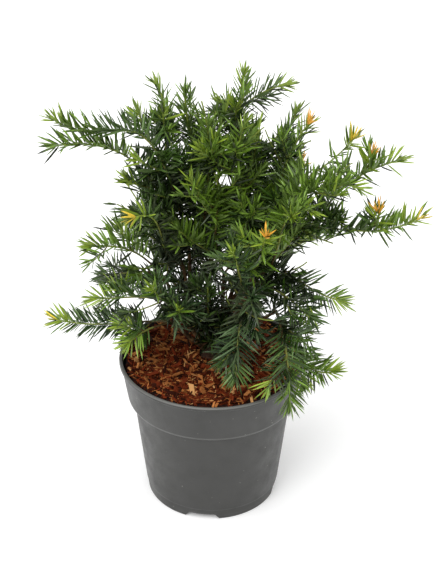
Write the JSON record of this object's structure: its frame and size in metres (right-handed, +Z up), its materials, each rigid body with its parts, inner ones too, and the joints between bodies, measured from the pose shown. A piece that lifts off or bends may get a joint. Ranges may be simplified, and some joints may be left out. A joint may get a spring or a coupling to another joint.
{
  "type": "potted yew shrub",
  "caption": "Young spreading yew with needled shoots fanning out from a short trunk, growing in a round plastic nursery pot topped with bark mulch.",
  "frame": {"origin": "middle of the pot's flat underside, on the ground", "axes": "+Z up the plant, -Y towards the side the picture shows, +X to the right seen from there"},
  "size_m": [0.3709, 0.2694, 0.4477],
  "materials": {
    "pot_plastic": "semi-matte recycled grey plastic with a soft sheen",
    "bark_mulch": "rough shredded red-brown bark, matte",
    "trunk_bark": "thin scaly brown bark, matte",
    "bough_bark": "smooth olive-brown young bark, matte",
    "needles_dark": "leathery dark green needles, soft gloss",
    "needles_mid": "leathery green needles, soft gloss",
    "needles_fresh": "young light green needles, satin, golden at some tips",
    "needles_blue": "blue-green needles, soft gloss"
  },
  "bodies": {
    "root": {"pot": "pot_plastic", "mulch_filling": "bark_mulch", "trunk": "trunk_bark", "bough_leader": "bough_bark", "bough_left_high": "bough_bark", "bough_right_upper": "bough_bark", "bough_back": "bough_bark", "bough_left_middle": "bough_bark", "bough_right_high": "bough_bark", "bough_centre": "bough_bark", "bough_right_middle": "bough_bark", "bough_front": "bough_bark", "bough_back_left": "bough_bark", "bough_back_right": "bough_bark", "bough_left_side": "bough_bark", "bough_right_low": "bough_bark", "bough_left_front": "bough_bark", "bough_right_front": "bough_bark", "bough_left_low": "bough_bark", "foliage_top_leader": "needles_mid", "foliage_top_middle": "needles_fresh", "foliage_top_left": "needles_mid", "foliage_top_left_upright": "needles_mid", "foliage_upper_left_long": "needles_mid", "foliage_right_golden": "needles_fresh", "foliage_right_long": "needles_fresh", "foliage_right_light": "needles_fresh", "foliage_back_high": "needles_mid", "foliage_back_long": "needles_mid", "foliage_back_low": "needles_dark", "foliage_upper_left_second": "needles_mid", "foliage_left_yellow": "needles_dark", "foliage_right_high_first": "needles_mid", "foliage_right_high_bud": "needles_mid", "foliage_centre_upright": "needles_fresh", "foliage_centre_left": "needles_fresh", "foliage_far_right": "needles_mid", "foliage_right_fan": "needles_fresh", "foliage_front_drop": "needles_blue", "foliage_front_rosette": "needles_fresh", "foliage_back_left_high": "needles_mid", "foliage_back_left_out": "needles_fresh", "foliage_back_left_low": "needles_blue", "foliage_back_right_high": "needles_mid", "foliage_back_right_out": "needles_fresh", "foliage_back_right_low": "needles_blue", "foliage_left_side_long": "needles_fresh", "foliage_left_side_dark": "needles_dark", "foliage_right_drop": "needles_mid", "foliage_right_drop_low": "needles_dark", "foliage_orange_rosette": "needles_fresh", "foliage_left_rosette": "needles_fresh", "foliage_left_front_light": "needles_mid", "foliage_foot_rosette": "needles_fresh", "foliage_rim_right": "needles_fresh", "foliage_rim_front": "needles_mid", "foliage_low_left_long": "needles_blue", "foliage_rim_left": "needles_mid", "foliage_inner_back": "needles_dark", "foliage_inner_front": "needles_dark"}
  },
  "joints": []
}
